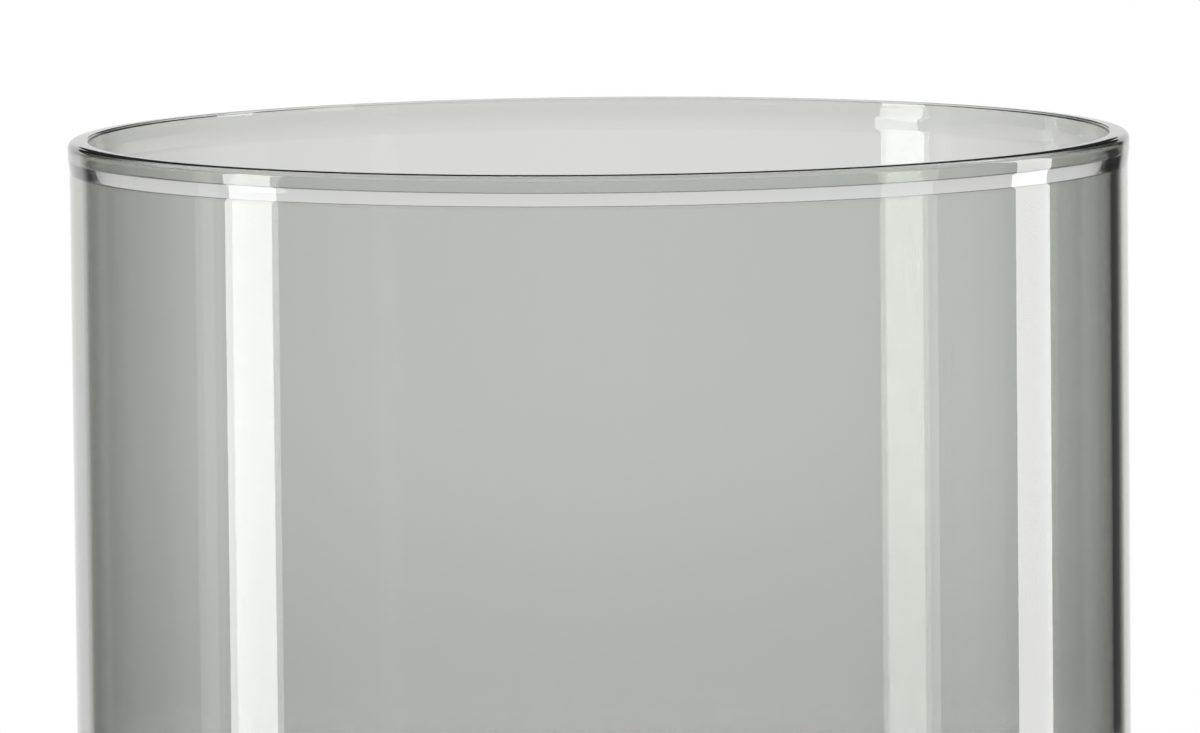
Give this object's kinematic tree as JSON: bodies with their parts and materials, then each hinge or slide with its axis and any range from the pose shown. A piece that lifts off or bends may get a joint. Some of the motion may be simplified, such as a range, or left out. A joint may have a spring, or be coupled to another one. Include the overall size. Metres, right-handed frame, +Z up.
{
  "type": "glass cylinder vase",
  "caption": "Straight round vase of smoked grey glass, open at the top with a rounded fire-polished lip, its tube bonded to a flat glass disc on clear bumper feet.",
  "frame": {"origin": "on the table under the middle of the vase, at the feet's lowest plane", "axes": "+Z up along the cylinder's axis; the cylinder is the same all round, and the four feet lie on the diagonals between X and Y"},
  "size_m": [0.1506, 0.1506, 0.25],
  "materials": {
    "smoked_glass": "clear smoked grey glass, polished",
    "smoked_glass_base": "clear smoked grey glass plate, polished edges",
    "clear_adhesive": "clear cured acrylic film",
    "clear_bumper": "clear soft polyurethane"
  },
  "bodies": {
    "root": {"glass_cylinder": "smoked_glass", "base_disc": "smoked_glass_base", "bond_ring": "clear_adhesive", "bumper_foot_1": "clear_bumper", "bumper_foot_2": "clear_bumper", "bumper_foot_3": "clear_bumper", "bumper_foot_4": "clear_bumper"}
  },
  "joints": []
}
